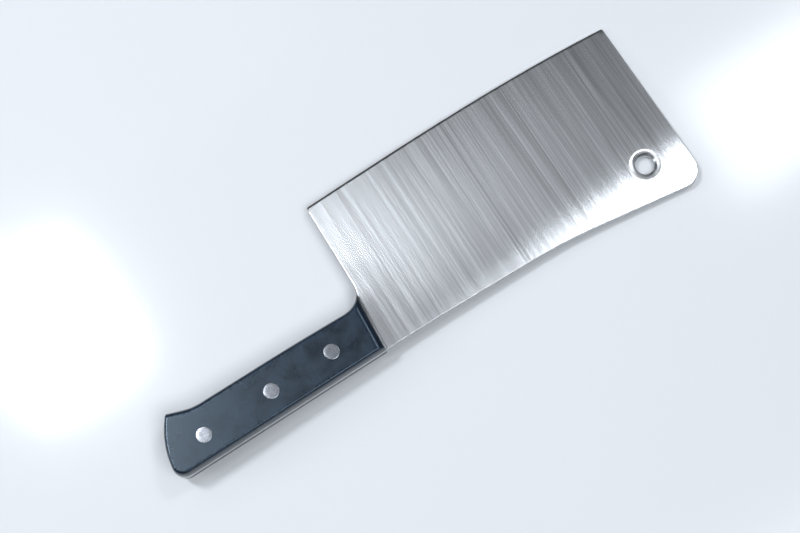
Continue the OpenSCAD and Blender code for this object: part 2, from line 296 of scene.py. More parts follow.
def steel_outline(b, h):
    """The whole steel's outline, walked so that its inside is on the left."""
    ln = handle_lines(h)
    grip = (ln["spine"][0], h.droop)
    spine = ((0.0, 0.0), 0.0)
    flare = ((b.flare_start + b.flare_radius * math.tan(b.flare_angle / 2), 0.0), -b.flare_angle)
    front = ((b.length, edge_y(b, b.length)), math.pi / 2 + b.front_lean)
    tip = ((b.length, edge_y(b, b.length)), math.pi + edge_slope(b, b.length))
    edge = ((0.0, b.height), math.pi + edge_slope(b, 0.0))
    heel = ((0.0, 0.0), 1.5 * math.pi)
    tip_arc = fillet(front, tip, b.tip_radius, 8)
    heel_arc = fillet(edge, heel, b.heel_radius, 10)
    xs = np.linspace(tip_arc[-1][0], heel_arc[0][0], 110)[1:-1]
    choil = [
        (b.choil_radius * (math.cos(a) - 1), h.height + b.choil_radius * (1 + math.sin(a)))
        for a in np.linspace(0, -math.pi / 2, 21)
    ]
    walk = (
        fillet(grip, spine, h.bend_radius, 12)
        + fillet(spine, flare, b.flare_radius, 24)
        + fillet(flare, front, b.corner_radius, 24)
        + tip_arc
        + [(x, edge_y(b, x)) for x in xs]
        + heel_arc
        + choil
        + butt_outline(h)
    )
    walk.append(walk[0])
    return filled_in(walk, OUTLINE_STEP)[:-1]


def band_y(b, x):
    return b.flat_band + np.maximum(0.0, x) * math.tan(b.band_climb)


def hole_place(b):
    front = ((b.length, edge_y(b, b.length)), math.pi / 2 + b.front_lean)
    return (meet(front, ((0.0, b.hole_up), 0.0))[0] - b.hole_front, b.hole_up)


def frame_shift(context):
    """From the heel, where the sizes start, to the frame's origin."""
    pts = np.array(steel_outline(context.scene.cleaver_blade, context.scene.cleaver_handle))
    low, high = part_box("blade")
    middle = (pts.min(0) + pts.max(0)) / 2
    return np.array([(low.x + high.x) / 2 - middle[0], (low.y + high.y) / 2 - middle[1]])


# ---------------------------------------------------------------- plans filled with triangles


def ring(centre, radius, count=TUBE_FLATS):
    turns = [2 * math.pi * i / count for i in range(count)]
    return [(centre[0] + radius * math.cos(a), centre[1] + radius * math.sin(a)) for a in turns]


def far_from(points, spots, reach):
    """Which points lie farther than reach from every one of the spots."""
    far = np.ones(len(points), bool)
    for x, y in spots:
        far &= np.hypot(points[:, 0] - x, points[:, 1] - y) > reach
    return far


def inset_ring(points, d):
    """A closed outline moved inwards by d, point by point."""
    p = np.array(points)
    ahead = np.roll(p, -1, 0) - p
    ahead /= np.linalg.norm(ahead, axis=1)[:, None]
    behind = np.roll(ahead, 1, 0)
    left_a = np.stack([-ahead[:, 1], ahead[:, 0]], 1)
    left_b = np.stack([-behind[:, 1], behind[:, 0]], 1)
    way = left_a + left_b
    way /= (way * left_a).sum(1)[:, None]
    return [tuple(q) for q in p + d * way]


def gap_to(points, outline):
    """Distance of each point to the closed outline."""
    a = np.array(outline)
    run = np.roll(a, -1, 0) - a
    length2 = (run**2).sum(1)
    best = np.full(len(points), 1e9)
    for start, way, l2 in zip(a, run, length2, strict=True):
        rel = points - start
        t = np.clip((rel @ way) / l2, 0, 1)
        best = np.minimum(best, ((rel - t[:, None] * way) ** 2).sum(1))
    return np.sqrt(best)


def is_inside(points, outline):
    a = np.array(outline)
    b = np.roll(a, -1, 0)
    inside = np.zeros(len(points), bool)
    for (x0, y0), (x1, y1) in zip(a, b, strict=True):
        if y0 == y1:
            continue
        crosses = (y0 > points[:, 1]) != (y1 > points[:, 1])
        inside ^= crosses & (points[:, 0] < (x1 - x0) * (points[:, 1] - y0) / (y1 - y0) + x0)
    return inside


def fill_plan(outline, loops=(), lines=(), points=(), holes=()):
    """Triangles that fill the outline less the holes, with loops and lines as edges: (points, triangles)."""
    co, edges = [], []
    for loop, closed in [(outline, True), *[(lp, True) for lp in loops], *[(ln, False) for ln in lines]]:
        start = len(co)
        co += [Vector(p) for p in loop]
        edges += [(start + i, start + i + 1) for i in range(len(loop) - 1)]
        if closed:
            edges.append((start + len(loop) - 1, start))
    co += [Vector(p) for p in points]
    verts, _, faces, *_ = delaunay_2d_cdt(co, edges, [], 0, 1e-8)
    verts = np.array([tuple(v) for v in verts])
    tris = np.array([f for f in faces if len(f) == 3])
    middle = verts[tris].mean(1)
    keep = is_inside(middle, outline)
    for centre, radius in holes:
        keep &= far_from(middle, [centre], radius * 0.9999)
    return verts, tris[keep]


def outer_edges(tris):
    """Edges that only one triangle has, in the triangles' own direction."""
    seen = {}
    for t in tris:
        for a, b in ((t[0], t[1]), (t[1], t[2]), (t[2], t[0])):
            seen[(min(a, b), max(a, b))] = None if (min(a, b), max(a, b)) in seen else (a, b)
    return [e for e in seen.values() if e]


def shade(mesh, smooth, weld=0.0):
    """Merges doubles closer than weld, turns the faces outwards and keeps the corners sharper than smooth."""
    bm = bmesh.new()
    bm.from_mesh(mesh)
    if weld:
        bmesh.ops.remove_doubles(bm, verts=bm.verts, dist=weld)
    bmesh.ops.recalc_face_normals(bm, faces=bm.faces)
    bm.to_mesh(mesh)
    bm.free()
    mesh.shade_smooth()
    mesh.set_sharp_from_angle(angle=math.radians(smooth))


def linked(context, name, mesh):
    obj = bpy.data.objects.new(name, mesh)
    context.scene.collection.objects.link(obj)
    return obj


def point_values(mesh, name, values):
    attribute = mesh.attributes.new(name, "FLOAT", "POINT")
    attribute.data.foreach_set("value", np.asarray(values, np.float32))


def settle(obj, *nodes, slot):
    """Hands a finished piece to the frame."""
    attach(obj, "root")
    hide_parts(*nodes)


# ---------------------------------------------------------------- node trees


def feed(tree, node, inputs):
    """Sets or links the inputs of a node. Their names use _ for a space, and _0 is the first of them."""
    for key, value in inputs.items():
        socket = node.inputs[int(key[1:])] if key[0] == "_" else node.inputs[key.replace("_", " ")]
        if isinstance(value, bpy.types.NodeSocket):
            tree.links.new(value, socket)
        else:
            socket.default_value = value
    return node


def place(tree, kind, settings=None, **inputs):
    """A new node with its settings made and its inputs fed."""
    made = tree.nodes.new(kind)
    for key, value in (settings or {}).items():
        setattr(made, key, value)
    return feed(tree, made, inputs)


def maths(tree, operation, *values):
    inputs = {f"_{i}": v for i, v in enumerate(values)}
    return place(tree, "ShaderNodeMath", {"operation": operation}, **inputs).outputs[0]


def rescaled(tree, value, low, high, to_low=0.0, to_high=1.0, smooth=False):
    made = place(
        tree, "ShaderNodeMapRange", {"interpolation_type": "SMOOTHSTEP" if smooth else "LINEAR"},
        Value=value, From_Min=low, From_Max=high, To_Min=to_low, To_Max=to_high,
    )
    return made.outputs["Result"]


def mixed(tree, share, a, b):
    """Colour a turning into colour b as share goes to one."""
    made = place(tree, "ShaderNodeMix", {"data_type": "RGBA"}, _0=share, _6=a, _7=b)
    return made.outputs[2]


def new_group(name, inputs, outputs):
    """A shader node group with named float, vector or colour sockets: (group, inputs, outputs node)."""
    group = bpy.data.node_groups.new(name, "ShaderNodeTree")
    for label, kind, value in inputs:
        socket = group.interface.new_socket(label, in_out="INPUT", socket_type=kind)
        if value is not None:
            socket.default_value = value
    for label, kind in outputs:
        group.interface.new_socket(label, in_out="OUTPUT", socket_type=kind)
    return group, group.nodes.new("NodeGroupInput").outputs, group.nodes.new("NodeGroupOutput").inputs


def use_group(tree, group, **inputs):
    return place(tree, "ShaderNodeGroup", {"node_tree": group}, **inputs).outputs


def stretched_noise(tree, vector, turn, across, length, detail, roughness, seed=0.0):
    """Noise drawn out along one direction of the surface: a value round one half."""
    mapped = place(
        tree, "ShaderNodeMapping", {"vector_type": "TEXTURE"},
        Vector=vector, Location=(seed, seed * 0.7, seed * 0.3), Rotation=(0.0, 0.0, turn),
        Scale=(across, length, length),
    )
    made = place(
        tree, "ShaderNodeTexNoise", None, Vector=mapped.outputs[0], Scale=1.0, Detail=detail,
        Roughness=roughness,
    )
    return made.outputs["Fac"]


def brush_lines_group():
    """Lines of a belt grinder: fine and broad streaks, and the few scratches that stand out."""
    group, given, out = new_group(
        "brush_lines",
        [("Vector", "NodeSocketVector", None), ("Strength", "NodeSocketFloat", 1.0)],
        [("Streaks", "NodeSocketFloat"), ("Bands", "NodeSocketFloat"), ("Scratches", "NodeSocketFloat")],
    )
    fine = stretched_noise(group, given["Vector"], BRUSH_LEAN, 0.0009, 0.110, 2.0, 0.65)
    coarse = stretched_noise(group, given["Vector"], BRUSH_LEAN, 0.0028, 0.160, 2.0, 0.5, 3.0)
    bands = stretched_noise(group, given["Vector"], BRUSH_LEAN, 0.014, 0.240, 2.0, 0.5, 7.0)
    rare = stretched_noise(group, given["Vector"], BRUSH_LEAN, 0.0010, 0.070, 1.0, 0.4, 11.0)
    scratches = rescaled(group, rare, 0.64, 0.76)
    both = maths(group, "ADD", maths(group, "MULTIPLY", fine, 0.6), maths(group, "MULTIPLY", coarse, 0.4))
    streaks = maths(
        group, "ADD", 0.5, maths(group, "MULTIPLY", maths(group, "SUBTRACT", both, 0.5), given["Strength"])
    )
    group.links.new(streaks, out["Streaks"])
    group.links.new(bands, out["Bands"])
    group.links.new(scratches, out["Scratches"])
    return group


def scuffs_group():
    """Short hairline scratches that cross at several angles, and the haze of handling."""
    group, given, out = new_group(
        "scuffs",
        [("Vector", "NodeSocketVector", None), ("Size", "NodeSocketFloat", 0.006)],
        [("Scratches", "NodeSocketFloat"), ("Haze", "NodeSocketFloat"), ("Grain", "NodeSocketFloat")],
    )
    total = None
    for k, turn in enumerate((0.35, 1.25, 2.2, 2.85)):
        hair = stretched_noise(group, given["Vector"], turn, 0.00022, 0.006, 1.0, 0.4, 5.0 * k + 1)
        patch = stretched_noise(group, given["Vector"], turn, 0.006, 0.009, 1.0, 0.5, 9.0 * k + 2)
        part = maths(
            group, "MULTIPLY", rescaled(group, hair, 0.66, 0.76), rescaled(group, patch, 0.50, 0.66)
        )
        total = part if total is None else maths(group, "MAXIMUM", total, part)
    cloud = place(
        group, "ShaderNodeTexNoise", None, Vector=given["Vector"],
        Scale=maths(group, "DIVIDE", 1.0, given["Size"]), Detail=4.0, Roughness=0.6, Distortion=0.4,
    )
    grain = place(group, "ShaderNodeTexNoise", None, Vector=given["Vector"], Scale=2600.0, Detail=2.0)
    group.links.new(total, out["Scratches"])
    group.links.new(rescaled(group, cloud.outputs["Fac"], 0.32, 0.68, smooth=True), out["Haze"])
    group.links.new(grain.outputs["Fac"], out["Grain"])
    return group


def edge_wear_and_sheen_group():
    """Where a corner is lightened, partly real polish and partly a painted highlight on rounded rims: strong
    on the worn attribute, broken up by noise.
    """
    group, given, out = new_group(
        "edge_wear_and_sheen",
        [
            ("Vector", "NodeSocketVector", None),
            ("Worn", "NodeSocketFloat", 0.0),
            ("Patchiness", "NodeSocketFloat", 0.5),
        ],
        [("Wear_And_Sheen", "NodeSocketFloat")],
    )
    noise = place(group, "ShaderNodeTexNoise", None, Vector=given["Vector"], Scale=260.0, Detail=3.0)
    broken = rescaled(group, noise.outputs["Fac"], 0.35, 0.65)
    kept = maths(group, "SUBTRACT", 1.0, maths(group, "MULTIPLY", given["Patchiness"], broken))
    group.links.new(maths(group, "MULTIPLY", given["Worn"], kept), out["Wear_And_Sheen"])
    return group


def shared(name, maker):
    return bpy.data.node_groups.get(name) or maker()


def new_material(name, colour):
    material = bpy.data.materials.new(name)
    material.use_nodes = True
    material.diffuse_color = (*colour, 1)
    tree = material.node_tree
    shader = tree.nodes["Principled BSDF"]
    where = tree.nodes.new("ShaderNodeTexCoord").outputs["Object"]
    return material, tree, shader, where


def wear_and_sheen_of(tree, where, patchiness):
    """Share of polish and painted highlight at each spot, from the worn attribute."""
    worn = place(tree, "ShaderNodeAttribute", {"attribute_name": "worn"}).outputs["Fac"]
    group = shared("edge_wear_and_sheen", edge_wear_and_sheen_group)
    return use_group(tree, group, Vector=where, Worn=worn, Patchiness=patchiness)["Wear_And_Sheen"]


def times(colour, k):
    return (*[min(1.0, c * k) for c in colour], 1)


def ground_steel(colour):
    """Stainless steel ground from spine to edge: highlights stretch across the brush lines."""
    material, tree, shader, where = new_material("ground_steel", colour)
    lines = use_group(tree, shared("brush_lines", brush_lines_group), Vector=where, Strength=1.0)
    wear_and_sheen = wear_and_sheen_of(tree, where, 0.3)
    tone = mixed(tree, rescaled(tree, lines["Streaks"], 0.36, 0.64), times(colour, 0.68), times(colour, 1.30))
    tone = mixed(tree, rescaled(tree, lines["Bands"], 0.35, 0.65, 0.0, 0.35), tone, times(colour, 1.1))
    tone = mixed(tree, maths(tree, "MULTIPLY", lines["Scratches"], 0.6), tone, times(colour, 1.5))
    # Painted highlight: the eased rims and the hole's lip are lightened in colour; the rougher finish there
    # is the real rubbing.
    tone = mixed(tree, wear_and_sheen, tone, times(colour, 1.2))
    rough = rescaled(tree, wear_and_sheen, 0.0, 1.0, 0.21, 0.36)
    tangent = place(tree, "ShaderNodeTangent", {"direction_type": "UV_MAP", "uv_map": "across"})
    feed(tree, shader, {
        "Base_Color": tone, "Metallic": 1.0, "Roughness": rough, "Anisotropic": 0.9,
        "Tangent": tangent.outputs[0],
    })
    return material


def black_acetal(colour):
    """Satin black acetal, hazed and scratched by use, its rounded corners rubbed smoother and lightened by a
    painted highlight.
    """
    material, tree, shader, where = new_material("black_acetal", colour)
    marks = use_group(tree, shared("scuffs", scuffs_group), Vector=where, Size=0.009)
    wear_and_sheen = wear_and_sheen_of(tree, where, 0.7)
    tone = mixed(tree, marks["Haze"], times(colour, 0.8), times(colour, 1.7))
    tone = mixed(tree, maths(tree, "MULTIPLY", marks["Scratches"], 0.5), tone, times(colour, 9.0))
    # Painted highlight: the colour along the rounded rims is lightened where the edge would catch the lamps.
    tone = mixed(tree, maths(tree, "MULTIPLY", wear_and_sheen, 0.5), tone, times(colour, 3.5))
    rough = rescaled(tree, marks["Haze"], 0.0, 1.0, 0.27, 0.34)
    rough = maths(tree, "SUBTRACT", rough, maths(tree, "MULTIPLY", wear_and_sheen, 0.08))
    grain = maths(tree, "MULTIPLY", marks["Grain"], 0.4)
    height = maths(tree, "SUBTRACT", grain, maths(tree, "MULTIPLY", marks["Scratches"], 1.0))
    bump = place(tree, "ShaderNodeBump", None, Strength=0.3, Distance=0.00002, Height=height)
    feed(tree, shader, {
        "Base_Color": tone, "Roughness": rough, "IOR": 1.55, "Normal": bump.outputs[0],
        "Specular_Tint": (0.68, 0.85, 1.0, 1),
    })
    return material


def ground_rivet(colour):
    """Rivet heads ground flush with the scales: a dull grain and crossing hairlines."""
    material, tree, shader, where = new_material("ground_rivet", colour)
    marks = use_group(tree, shared("scuffs", scuffs_group), Vector=where, Size=0.002)
    wear_and_sheen = wear_and_sheen_of(tree, where, 0.2)
    tone = mixed(tree, marks["Haze"], times(colour, 0.85), times(colour, 1.05))
    tone = mixed(tree, wear_and_sheen, tone, times(colour, 1.25))
    rough = rescaled(tree, marks["Grain"], 0.3, 0.7, 0.26, 0.30)
    height = maths(tree, "SUBTRACT", marks["Grain"], marks["Scratches"])
    bump = place(tree, "ShaderNodeBump", None, Strength=0.3, Distance=0.00002, Height=height)
    feed(tree, shader, {"Base_Color": tone, "Metallic": 1.0, "Roughness": rough, "Normal": bump.outputs[0]})
    return material


def pale_floor(colour):
    """A plain pale tabletop with a faint sheen."""
    material, tree, shader, where = new_material("pale_floor", colour)
    noise = place(tree, "ShaderNodeTexNoise", None, Vector=where, Scale=3.0, Detail=2.0)
    tone = mixed(tree, noise.outputs["Fac"], times(colour, 0.985), times(colour, 1.01))
    feed(tree, shader, {"Base_Color": tone, "Roughness": 0.12, "Specular_IOR_Level": 0.25})
    return material


def finish_of(maker, colour):
    """The finish of that name, made once. The frame's own materials have other names and are never taken."""
    if maker.__name__ not in FINISHES:
        if maker.__name__ in bpy.data.materials:
            raise RuntimeError(f"a material named {maker.__name__} is there already")
        FINISHES[maker.__name__] = maker(colour)
    return FINISHES[maker.__name__]


# ---------------------------------------------------------------- geometry trees


def new_geometry_tree(name, inputs):
    """A geometry tree with named inputs: (tree, inputs, output)."""
    tree = bpy.data.node_groups.new(name, "GeometryNodeTree")
    tree.interface.new_socket("Geometry", in_out="INPUT", socket_type="NodeSocketGeometry")
    for label, kind in inputs:
        tree.interface.new_socket(label, in_out="INPUT", socket_type=kind)
    tree.interface.new_socket("Geometry", in_out="OUTPUT", socket_type="NodeSocketGeometry")
    return tree, tree.nodes.new("NodeGroupInput").outputs, tree.nodes.new("NodeGroupOutput").inputs


def close_tree(tree, geometry, material, out):
    """Every tree ends in real geometry that wears its material."""
    real = place(tree, "GeometryNodeRealizeInstances", None, Geometry=geometry)
    worn = place(tree, "GeometryNodeSetMaterial", None, Geometry=real.outputs[0], Material=material)
    tree.links.new(worn.outputs[0], out["Geometry"])


def grown(obj, tree, values, smooth=30.0):
    """Runs a geometry tree on obj and keeps the result as its plain mesh."""
    modifier = obj.modifiers.new(tree.name, "NODES")
    modifier.node_group = tree
    for item in tree.interface.items_tree:
        if item.in_out == "INPUT" and item.name in values:
            modifier[item.identifier] = values[item.name]
    bpy.context.view_layer.update()
    graph = bpy.context.evaluated_depsgraph_get()
    made = bpy.data.meshes.new_from_object(
        obj.evaluated_get(graph), preserve_all_data_layers=True, depsgraph=graph
    )
    obj.modifiers.remove(modifier)
    obj.data = made
    made.materials.clear()
    made.materials.append(values["Material"])
    made.polygons.foreach_set("material_index", [0] * len(made.polygons))
    shade(made, smooth)
    return obj


def named_value(tree, name):
    made = place(tree, "GeometryNodeInputNamedAttribute", {"data_type": "FLOAT"}, Name=name)
    return made.outputs["Attribute"]


def ground_blade_tree():
    """Gives the flat plan of the steel its thickness.

    It is full along the spine and through the tang, and ground thinner to the cutting edge. The grind runs
    out before the handle. The edge has a bevel, the corners are eased and the hole's rim is dished.
    """
    floats = [
        "Steel Thickness", "Behind Edge", "Edge Thickness", "Bevel Width", "Run-out", "Fullness",
        "Border Softness", "Rim Easing", "Hole Radius", "Chamfer", "Lip Width", "Lip Depth", "Middle Height",
    ]
    tree, given, out = new_geometry_tree(
        "ground_blade", [(n, "NodeSocketFloat") for n in floats] + [("Material", "NodeSocketMaterial")]
    )
    m = functools.partial(maths, tree)
    up, down = named_value(tree, "from_band"), named_value(tree, "from_edge")
    ground_run = m("SUBTRACT", m("ADD", up, down), given["Bevel Width"])
    share = m("SMOOTH_MAX", m("DIVIDE", up, ground_run), 0.0, given["Border Softness"])
    fade = rescaled(tree, named_value(tree, "from_grip"), 0.0, given["Run-out"], smooth=True)
    taken = m("MULTIPLY", m("POWER", share, given["Fullness"]), fade)
    thinning = m("SUBTRACT", given["Steel Thickness"], given["Behind Edge"])
    face = m("MULTIPLY", m("SUBTRACT", given["Steel Thickness"], m("MULTIPLY", taken, thinning)), 0.5)
    bevel_fall = m("SUBTRACT", given["Behind Edge"], given["Edge Thickness"])
    bevel_slope = m("DIVIDE", bevel_fall, given["Bevel Width"])
    bevel = m("MULTIPLY", m("ADD", given["Edge Thickness"], m("MULTIPLY", down, bevel_slope)), 0.5)
    half = m("MINIMUM", face, bevel)
    easing = m("MINIMUM", given["Rim Easing"], m("MULTIPLY", half, 0.45))
    short = m("SUBTRACT", easing, m("MINIMUM", named_value(tree, "from_rim"), easing))
    sagged = m("SUBTRACT", m("MULTIPLY", easing, easing), m("MULTIPLY", short, short))
    rounded = m("SUBTRACT", easing, m("SQRT", m("MAXIMUM", sagged, 0.0)))
    from_hole = named_value(tree, "from_hole")
    into_lip = m("SUBTRACT", from_hole, m("ADD", given["Hole Radius"], given["Chamfer"]))
    lip_share = m("DIVIDE", into_lip, given["Lip Width"])
    lip_left = m("SUBTRACT", 1.0, m("MINIMUM", m("MAXIMUM", lip_share, 0.0), 1.0))
    lip = m("MULTIPLY", given["Lip Depth"], m("POWER", lip_left, 2.2))
    over_chamfer = m("SUBTRACT", m("ADD", given["Hole Radius"], given["Chamfer"]), from_hole)
    chamfer = m("MINIMUM", m("MAXIMUM", over_chamfer, 0.0), given["Chamfer"])
    half = m("SUBTRACT", m("SUBTRACT", m("SUBTRACT", half, rounded), lip), chamfer)
    position = place(tree, "GeometryNodeInputPosition").outputs[0]
    spot = place(tree, "ShaderNodeSeparateXYZ", None, Vector=position)
    height = m("ADD", given["Middle Height"], m("MULTIPLY", named_value(tree, "side"), half))
    spot = place(tree, "ShaderNodeCombineXYZ", None, X=spot.outputs[0], Y=spot.outputs[1], Z=height)
    moved = place(
        tree, "GeometryNodeSetPosition", None, Geometry=given["Geometry"], Position=spot.outputs[0]
    )
    close_tree(tree, moved.outputs[0], given["Material"], out)
    return tree


def turned_rivet_tree():
    """Turns one half of a rivet on its axis: a flush head, and a solid pin or a tube below it."""
    floats = ["Head", "Head Thickness", "Shank", "Shank Length", "Bore", "Bore Depth", "Rim Easing"]
    tree, given, out = new_geometry_tree(
        "turned_rivet",
        [(n, "NodeSocketFloat") for n in floats]
        + [
            ("Segments", "NodeSocketInt"),
            ("Place", "NodeSocketVector"),
            ("Turn", "NodeSocketVector"),
            ("Material", "NodeSocketMaterial"),
        ],
    )
    m = functools.partial(maths, tree)
    head, shank, bore = (m("MULTIPLY", given[n], 0.5) for n in ("Head", "Shank", "Bore"))
    ease = given["Rim Easing"]
    bottom = m("SUBTRACT", given["Shank Length"], given["Bore Depth"])
    profile = [
        (0.0, 0.0),
        (m("MULTIPLY", head, 0.5), 0.0),
        (m("SUBTRACT", head, m("MULTIPLY", ease, 1.6)), 0.0),
        (m("SUBTRACT", head, ease), m("MULTIPLY", ease, 0.06)),
        (m("SUBTRACT", head, m("MULTIPLY", ease, 0.3)), m("MULTIPLY", ease, 0.3)),
        (head, ease),
        (head, given["Head Thickness"]),
        (shank, given["Head Thickness"]),
        (shank, given["Shank Length"]),
        (bore, given["Shank Length"]),
        (bore, bottom),
        (0.0, bottom),
    ]
    around = m("ADD", given["Segments"], 1.0)
    grid = place(
        tree, "GeometryNodeMeshGrid", None, Vertices_X=len(profile), Vertices_Y=around
    ).outputs["Mesh"]
    index = place(tree, "GeometryNodeInputIndex").outputs[0]
    row = m("FLOOR", m("DIVIDE", m("ADD", index, 0.5), around))
    column = m("SUBTRACT", index, m("MULTIPLY", row, around))
    turn = m("MULTIPLY", m("DIVIDE", column, given["Segments"]), math.tau)
    pick = place(tree, "GeometryNodeIndexSwitch", {"data_type": "VECTOR"})
    while len(pick.index_switch_items) < len(profile):
        pick.index_switch_items.new()
    tree.links.new(row, pick.inputs["Index"])
    for i, (r, z) in enumerate(profile):
        point = place(tree, "ShaderNodeCombineXYZ", None, X=r, Z=z)
        tree.links.new(point.outputs[0], pick.inputs[1 + i])
    split = place(tree, "ShaderNodeSeparateXYZ", None, Vector=pick.outputs[0])
    spot = place(
        tree, "ShaderNodeCombineXYZ", None,
        X=m("MULTIPLY", split.outputs[0], m("COSINE", turn)),
        Y=m("MULTIPLY", split.outputs[0], m("SINE", turn)),
        Z=split.outputs[2],
    )
    moved = place(tree, "GeometryNodeSetPosition", None, Geometry=grid, Position=spot.outputs[0])
    worn = place(
        tree, "GeometryNodeStoreNamedAttribute", {"data_type": "FLOAT", "domain": "POINT"},
        Geometry=moved.outputs[0], Name="worn",
        Value=rescaled(tree, split.outputs[0], m("SUBTRACT", head, m("MULTIPLY", ease, 2.6)), head),
    )
    welded = place(tree, "GeometryNodeMergeByDistance", None, Geometry=worn.outputs[0], Distance=1e-6)
    set_down = place(
        tree, "GeometryNodeTransform", None, Geometry=welded.outputs[0], Translation=given["Place"],
        Rotation=given["Turn"],
    )
    close_tree(tree, set_down.outputs[0], given["Material"], out)
    return tree


# ---------------------------------------------------------------- the pieces


def rivet_places():
    return {way: centre_of(f"rivet_sleeve_{way}") for way in RIVET_WAYS}


def centre_of(node):
    low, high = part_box(node)
    return ((low.x + high.x) / 2, (low.y + high.y) / 2)


def sizes_and_places(context):
    """The three groups of sizes, the shift to the frame, and the rivets' places before that shift."""
    b, h, r = context.scene.cleaver_blade, context.scene.cleaver_handle, context.scene.cleaver_rivets
    shift = frame_shift(context)
    return b, h, r, shift, [(p[0] - shift[0], p[1] - shift[1]) for p in rivet_places().values()]


def build_blade(context):
    b, h, r, shift, tubes = sizes_and_places(context)
    outline = steel_outline(b, h)
    hole = hole_place(b)
    tube_radius = r.tube_diameter / 2 + r.tube_play
    loops = [inset_ring(outline, b.rim_easing * k) for k in RIM_LOOPS]
    hole_radius = b.hole_diameter / 2
    outer = hole_radius + b.hole_chamfer
    hole_rings = [outer + b.hole_lip * reach for reach in LIP_LOOPS]
    hole_rings += [outer - CREASE_GUARD, hole_radius + CREASE_GUARD, hole_radius]
    loops += [ring(hole, radius, HOLE_FLATS) for radius in hole_rings]
    loops += [ring(t, tube_radius) for t in tubes]
    xs = np.arange(0.001, b.length - 0.001, EDGE_STEP)
    lines = [[(x, edge_y(b, x) - b.bevel_width - k) for x in xs] for k in (-BEVEL_GUARD, 0.0, BEVEL_GUARD)]
    points = []
    for column, x in enumerate(np.arange(-h.gap - 0.0102, b.length, COLUMN_STEP)):
        top = edge_y(b, max(x, 0.0)) - b.bevel_width
        border = float(band_y(b, x))
        rows = [
            *np.arange(-0.012, border - 0.002, 0.0015),
            *(border + np.arange(-0.002, 0.004, 0.0005)),
            *np.arange(border + 0.0045, top - 0.0004, ROW_STEP),
        ]
        if column % 2:
            rows = [(low + high) / 2 for low, high in zip(rows, rows[1:])]
        points += [(x, y) for y in rows]
    points += [(x, y) for x in np.arange(-0.120, -0.0126, 0.004) for y in np.arange(-0.002, 0.028, 0.004)]
    points = np.array(points)
    keep = is_inside(points, outline) & (gap_to(points, outline) > CLEAR_OF_RIM)
    keep &= far_from(points, [hole], outer + b.hole_lip * 1.5)
    keep &= far_from(points, tubes, tube_radius + CLEAR_OF_BORE)
    plan, tris = fill_plan(
        outline, loops, lines, points[keep],
        [(hole, hole_radius), *[(t, tube_radius) for t in tubes]],
    )
    n = len(plan)
    sides = np.concatenate([np.ones(n), -np.ones(n)])
    flat = np.concatenate([plan, plan])
    verts = np.column_stack([flat + shift, sides * 0.001])
    faces = [tuple(t) for t in tris] + [(t[0] + n, t[2] + n, t[1] + n) for t in tris]
    faces += [(c, a, a + n, c + n) for a, c in outer_edges(tris)]
    used = np.unique(np.array([i for f in faces for i in f]))
    remap = -np.ones(2 * n, int)
    remap[used] = np.arange(len(used))
    mesh = bpy.data.meshes.new("blade_steel")
    mesh.from_pydata(verts[used].tolist(), [], [[int(remap[i]) for i in f] for f in faces])
    flat = flat[used]
    from_rim = gap_to(flat, outline)
    edge = np.array([edge_y(b, max(x, 0.0)) for x in flat[:, 0]])
    grip = np.hypot(np.maximum(0, flat[:, 0] + h.gap), np.maximum(0, flat[:, 1] - h.height))
    from_hole = np.hypot(flat[:, 0] - hole[0], flat[:, 1] - hole[1])
    point_values(mesh, "side", sides[used])
    point_values(mesh, "from_band", flat[:, 1] - band_y(b, flat[:, 0]))
    point_values(mesh, "from_edge", edge - flat[:, 1])
    point_values(mesh, "from_grip", grip)
    point_values(mesh, "from_rim", from_rim)
    point_values(mesh, "from_hole", from_hole)
    # Worn values on the rims and the hole's lip: rubbed corners, also lightened in colour as a painted
    # highlight.
    hole_lip_wear_and_sheen = np.clip(1 - (from_hole - outer) / b.hole_lip, 0, 1) * (from_hole < outer + b.hole_lip)
    point_values(mesh, "worn", np.maximum(np.clip(1 - from_rim / 0.0006, 0, 1), hole_lip_wear_and_sheen))
    across = mesh.uv_layers.new(name="across")
    lean = (math.cos(BRUSH_LEAN), math.sin(BRUSH_LEAN))
    co = np.array([v.co[:] for v in mesh.vertices])
    for face in mesh.polygons:
        wall = len(face.vertices) == 4
        if wall:
            p = [co[i] for i in face.vertices]
            run = math.hypot(p[1][0] - p[0][0], p[1][1] - p[0][1])
            spots = [(0.0, p[0][2]), (run, p[1][2]), (run, p[2][2]), (0.0, p[3][2])]
        for k, loop in enumerate(face.loop_indices):
            i = mesh.loops[loop].vertex_index
            u, v = spots[k] if wall else (co[i][0], co[i][1])
            if not wall:
                u, v = (u * lean[0] + v * lean[1], v * lean[0] - u * lean[1])
            across.data[loop].uv = (u * 5 + 1, v * 5 + 1)
    values = {
        "Steel Thickness": TANG_HIGH - TANG_LOW, "Behind Edge": b.behind_edge,
        "Edge Thickness": b.edge_thickness, "Bevel Width": b.bevel_width,
        "Run-out": b.runout, "Fullness": b.fullness, "Border Softness": b.border_softness,
        "Rim Easing": b.rim_easing,
        "Hole Radius": hole_radius, "Chamfer": b.hole_chamfer, "Lip Width": b.hole_lip,
        "Lip Depth": LIP_DEPTH, "Middle Height": MIDDLE,
        "Material": finish_of(ground_steel, context.scene.cleaver_colours.steel),
    }
    steel = grown(linked(context, "blade_steel", mesh), ground_blade_tree(), values)
    settle(steel, "blade", slot="blade_steel")


def scale_front_x(h, y):
    return -h.gap + (y - h.height / 2) * math.tan(h.front_lean)


def scale_belly_y(b, h, x, d):
    if x < -b.choil_radius:
        return h.height - d
    return h.height + b.choil_radius - math.sqrt((b.choil_radius + d) ** 2 - (x + b.choil_radius) ** 2)


def between(p, q, steps, first=0):
    """Points from p towards q, in equal steps that stop short of q."""
    p, q = np.array(p), np.array(q)
    return [tuple(p + (q - p) * k / steps) for k in range(first, steps)]


